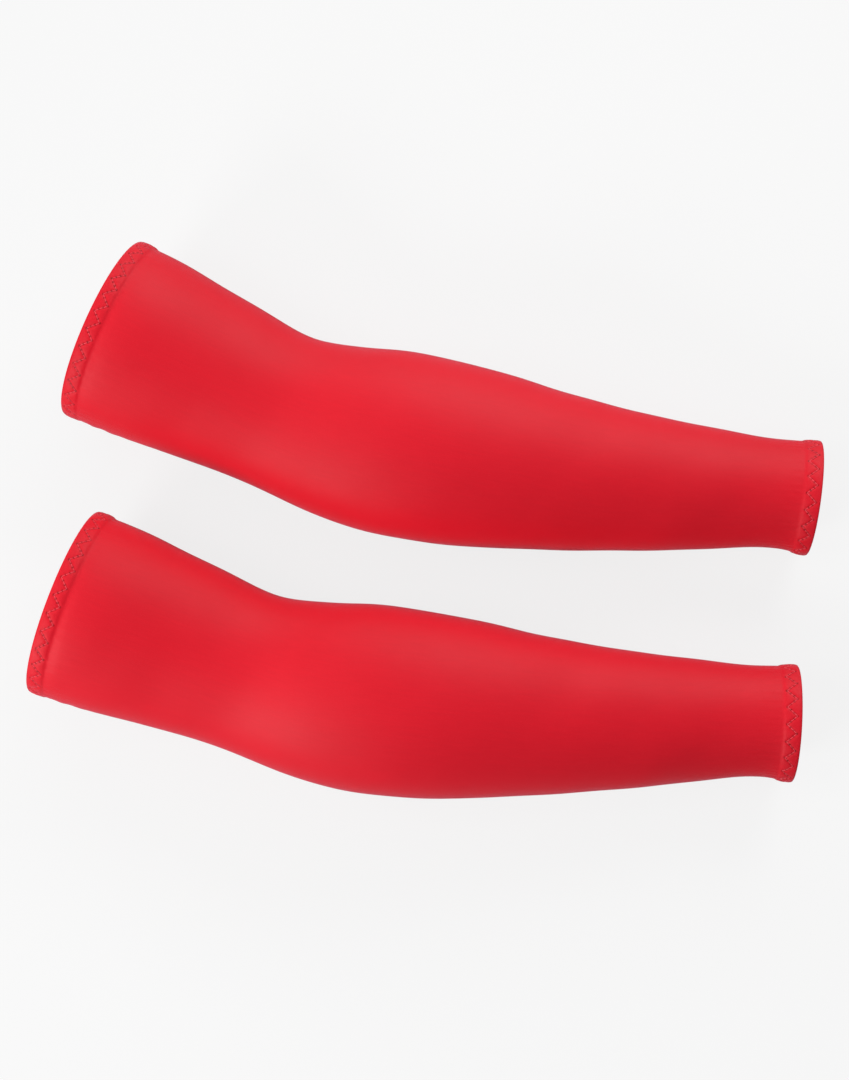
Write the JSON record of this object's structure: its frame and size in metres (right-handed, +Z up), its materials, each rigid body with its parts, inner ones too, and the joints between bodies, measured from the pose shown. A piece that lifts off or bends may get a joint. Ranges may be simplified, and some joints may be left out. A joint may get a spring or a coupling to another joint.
{
  "type": "elastic arm sleeves",
  "caption": "Pair of elastic arm sleeves from upper arm to wrist, each a bent tapering cloth tube with turned, elasticated and zigzag-stitched ends.",
  "frame": {"origin": "on the surface the pair lies on, under the middle of the pair's bounding box", "axes": "+X along the sleeves towards the hands, +Y from the front sleeve to the rear one, +Z up"},
  "size_m": [0.418, 0.2651, 0.0828],
  "materials": {
    "knit_cloth": "smooth stretch knit with a soft satin sheen",
    "elastic_tape": "woven elastic tape, matt",
    "thread": "polyester sewing thread"
  },
  "bodies": {
    "rear_sleeve": {"rear_panel": "knit_cloth", "rear_seam_allowance": "knit_cloth", "rear_upper_elastic": "elastic_tape", "rear_wrist_elastic": "elastic_tape", "rear_upper_hem_thread": "thread", "rear_wrist_hem_thread": "thread", "rear_seam_thread": "thread"},
    "front_sleeve": {"front_panel": "knit_cloth", "front_seam_allowance": "knit_cloth", "front_upper_elastic": "elastic_tape", "front_wrist_elastic": "elastic_tape", "front_upper_hem_thread": "thread", "front_wrist_hem_thread": "thread", "front_seam_thread": "thread"}
  },
  "joints": [
    {"name": "front_sleeve_lift", "type": "slide", "parent": "rear_sleeve", "child": "front_sleeve", "axis": [0, 0, 1], "range_m": [0, 0.15]}
  ]
}
